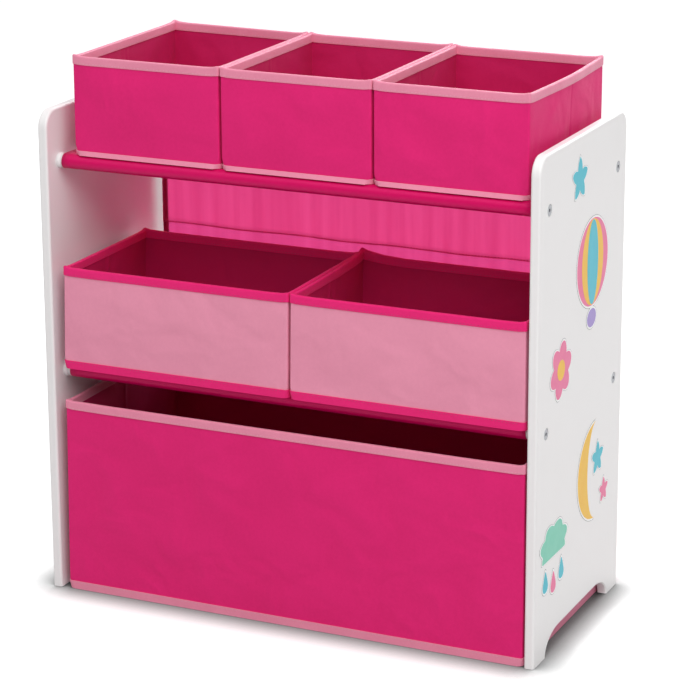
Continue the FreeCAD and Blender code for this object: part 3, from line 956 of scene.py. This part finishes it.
INKS = {
    "white": ("#FBFAFA", "#FFFFFF"), "turquoise": ("#2FB6CC", "#45C4D6"),
    "mint": ("#6CC9AE", "#84D6BE"), "pink": ("#EA6496", "#F27AA6"),
    "yellow": ("#F4B81C", "#F8C83C"), "lilac": ("#9C84CC", "#AC96D8"),
    # The grey ink makes the thin outline round each sticker: partly its cut edge, partly painted
    # shadow.
    "grey": ("#6C6870", "#7C7880"),
}
vinyl = [vinyl_film("vinyl film " + ink, dark, light) for ink, (dark, light) in INKS.items()]
FILM = 0.16 * MM
BORDER = 2.2 * MM
CUT_LINE = 0.5 * MM
panel_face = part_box("side_panel_right")[1].x


# %% Cut a shape from film
def cut_film(bm, ink, layer, spot, bend):
    """A shape in one ink: a circle whose points are moved to bend(angle) = (y, z), then raised."""
    near = bmesh.ops.create_circle(bm, cap_ends=True, segments=48, radius=1.0)["verts"]
    for vert in near:
        y, z = bend(math.atan2(vert.co.y, vert.co.x))
        vert.co = Vector((panel_face + FILM * layer, spot.x + y, spot.y + z))
    far = thicken(bm, near, (FILM, 0, 0))
    for face in {face for vert in near + far for face in vert.link_faces}:
        face.material_index = list(INKS).index(ink)


def stretched(outline, scale, extra=0.0):
    """An outline made as large as scale says, and wider by extra all round."""
    def bend(angle):
        y, z = outline(angle)
        return y * (scale.x + extra), z * (scale.y + extra)
    return bend


def round_shape(angle):
    return math.cos(angle), math.sin(angle)


def petals(count, depth):
    """An outline with count rounded petals or bumps."""
    def bend(angle):
        radius = 1 - depth + depth * abs(math.sin(count * angle / 2 + math.pi / 4))
        return radius * math.cos(angle), radius * math.sin(angle)
    return bend


def star_shape(angle):
    turn = ((angle - math.pi / 2) * 5 / (2 * math.pi)) % 1.0
    radius = 1 - 1.05 * min(turn, 1 - turn)
    return radius * math.cos(angle), radius * math.sin(angle)


def moon_shape(angle):
    y = math.cos(angle)
    return (y if y < 0 else -0.45 * y), math.sin(angle)


def drop_shape(angle):
    z = math.sin(angle)
    return 0.7 * math.cos(angle) * (1 - 0.45 * z), z + (0.35 * z * z if z > 0 else 0)


def flat_cloud(angle):
    y, z = petals(7, 0.2)(angle)
    return 1.3 * y, max(0.8 * z, -0.42)


# %% Design of the five stickers
# Each shape is an ink, a layer, a place and a size in millimetres, and an outline.
stickers = {
    "star": [
        ("turquoise", 1, (-18, 546), 26, star_shape),
    ],
    "balloon": [
        ("pink", 1, (30, 438), 52, round_shape),
        ("yellow", 2, (30, 438), (36, 51), round_shape),
        ("turquoise", 3, (30, 438), (18, 50.5), round_shape),
        ("lilac", 1, (30, 371), (15, 11), round_shape),
    ],
    "flower": [
        ("pink", 1, (-70, 336), 34, petals(6, 0.3)),
        ("yellow", 2, (-70, 336), 12, round_shape),
    ],
    "moon": [
        ("yellow", 1, (54, 178), 60, moon_shape),
        ("turquoise", 1, (62, 190), 21, star_shape),
        ("pink", 1, (86, 142), 16, star_shape),
    ],
    "cloud": [
        ("mint", 1, (-84, 132), 34, flat_cloud),
        ("turquoise", 1, (-110, 92), 11, drop_shape),
        ("pink", 1, (-84, 84), 11, drop_shape),
        ("turquoise", 1, (-58, 92), 11, drop_shape),
    ],
}

# %% Make the stickers
for name, shapes in stickers.items():
    bm = bmesh.new()
    for ink, layer, place, size, outline in shapes:
        spot = Vector(place) * MM
        scale = Vector(size if isinstance(size, tuple) else (size, size)) * MM
        if layer == 1:
            # Grey outline under the white border: partly the cut edge, partly painted shadow.
            cut_film(bm, "grey", 0, spot, stretched(outline, scale, BORDER + CUT_LINE))
            cut_film(bm, "white", 0.5, spot, stretched(outline, scale, BORDER))
        cut_film(bm, ink, layer, spot, stretched(outline, scale))
    make_piece("sticker_" + name, bm, vinyl, "frame")

# %% [markdown]
# ## Floor, sky and lamps
# The organizer stands on a white floor in a white studio. Most light falls softly from above, as
# from a wide reflector, so the sky is bright overhead and nearly dark at the horizon. The camera
# and the reflections see it white all round. To them the floor also adds a little light of its own,
# which lifts it to white and still leaves the soft shadow. Where something stands close, the floor
# that they see is darker, because the lamps are too large to draw that thin line of shadow.

# %% Which rays look, and which only carry light
def seen_by(tree, *kinds):
    """1 for these kinds of ray, and 0 for all others."""
    ray = add(tree, "ShaderNodeLightPath").outputs
    seen = ray[f"Is {kinds[0]} Ray"]
    for kind in kinds[1:]:
        seen = maths(tree, "MAXIMUM", seen, ray[f"Is {kind} Ray"])
    return seen


def choose(tree, factor, other, own):
    """own where the factor is 1, other where it is 0."""
    return add(tree, "ShaderNodeMix", {"Factor": factor, "A": other, "B": own},
               data_type="FLOAT").outputs["Result"]


# %% Floor
FLOOR_REACH = 40.0
FLOOR_DROP = 0.3 * MM
FLOOR_GREY = linear("#C4C4C4")[0]
FLOOR_LIFT = 0.6
CONTACT_REACH = 0.045
CONTACT_CONTRAST = 2.2

bm = bmesh.new()
bmesh.ops.create_circle(bm, cap_ends=True, segments=64, radius=FLOOR_REACH)
bmesh.ops.translate(bm, vec=(0, 0, -FLOOR_DROP), verts=bm.verts)
floor_mesh = bpy.data.meshes.new("studio_floor")
bm.to_mesh(floor_mesh)
bm.free()
floor = bpy.data.objects.new("studio_floor", floor_mesh)
show(floor)

floor_paint, tree, shader = new_material("matt studio floor", Roughness=0.9)
seen = seen_by(tree, "Camera", "Glossy")
contact = add(tree, "ShaderNodeAmbientOcclusion", {"Distance": CONTACT_REACH}, samples=16)
shade = choose(tree, seen, 1.0, maths(tree, "POWER", contact.outputs["AO"], CONTACT_CONTRAST))
grey = maths(tree, "MULTIPLY", shade, FLOOR_GREY)
paint = add(tree, "ShaderNodeCombineColor", dict.fromkeys(("Red", "Green", "Blue"), grey))
tree.links.new(paint.outputs["Color"], shader.inputs["Base Color"])
lift = maths(tree, "MULTIPLY", maths(tree, "MULTIPLY", seen, FLOOR_LIFT), shade)
glow = add(tree, "ShaderNodeEmission", {"Strength": lift})
both = add(tree, "ShaderNodeAddShader", {0: shader.outputs[0], 1: glow.outputs[0]})
tree.links.new(both.outputs[0], tree.nodes["Material Output"].inputs["Surface"])
floor_mesh.materials.append(floor_paint)

# %% Sky
HORIZON_LIGHT = 0.08
ZENITH_LIGHT = 1.0

world = bpy.data.worlds.new("white studio")
scene.world = world
world.use_nodes = True
tree = world.node_tree
direction = add(tree, "ShaderNodeTexCoord").outputs["Object"]
height = add(tree, "ShaderNodeSeparateXYZ", {"Vector": direction}).outputs["Z"]
studio = add(tree, "ShaderNodeMapRange", {"Value": height, "To Min": HORIZON_LIGHT,
                                          "To Max": ZENITH_LIGHT}).outputs["Result"]
strength = choose(tree, seen_by(tree, "Camera", "Glossy", "Transmission"), studio, 1.0)
sky = tree.nodes["Background"]
sky.inputs["Color"].default_value = (1, 1, 1, 1)
tree.links.new(strength, sky.inputs["Strength"])


# %% Lamps
def soft_lamp(name, place, aim, size, power):
    """A square studio lamp at a place, turned towards a point."""
    data = bpy.data.lights.new(name, "AREA")
    data.size = size
    data.energy = power
    lamp = bpy.data.objects.new(name, data)
    lamp.location = place
    lamp.rotation_euler = (Vector(aim) - Vector(place)).to_track_quat("-Z", "Y").to_euler()
    show(lamp)


soft_lamp("key_lamp", (1.25, -1.85, 2.65), (0, 0, 0.2), 2.2, 58)
soft_lamp("back_lamp", (0.1, 2.4, 1.4), (0, 0, 0.45), 1.8, 44)

# %% [markdown]
# ## Camera
# The camera stands where the photographer stood: about three metres away, at shoulder height, to
# the right of the object, with a long lens. Its place and turn were worked out from the corners of
# the panels and bins.

# %% Camera
CAMERA_PLACE = Vector((1.30217, -2.80646, 1.25016))
YAW = math.radians(24.748946)
PITCH = math.radians(15.551303)
ROLL = math.radians(-0.301439)
IMAGE_SIZE = 679
LENS_PIXELS = 2693.624
CENTRE_SHIFT_PIXELS = -60
SENSOR_WIDTH = 36.0

forward = Vector((-math.sin(YAW) * math.cos(PITCH), math.cos(YAW) * math.cos(PITCH), -math.sin(PITCH)))
level_right = Vector((math.cos(YAW), math.sin(YAW), 0))
level_up = level_right.cross(forward)
right = math.cos(ROLL) * level_right + math.sin(ROLL) * level_up
up = -math.sin(ROLL) * level_right + math.cos(ROLL) * level_up
data = bpy.data.cameras.new("camera")
data.sensor_width = SENSOR_WIDTH
data.lens = LENS_PIXELS / IMAGE_SIZE * data.sensor_width
data.shift_y = CENTRE_SHIFT_PIXELS / IMAGE_SIZE
camera = bpy.data.objects.new("camera", data)
turn = Matrix((right, up, -forward)).transposed().to_4x4()
camera.matrix_world = Matrix.Translation(CAMERA_PLACE) @ turn
show(camera)
scene.camera = camera
scene.view_settings.view_transform = "Standard"
print(f"lens {data.lens:.1f} mm")
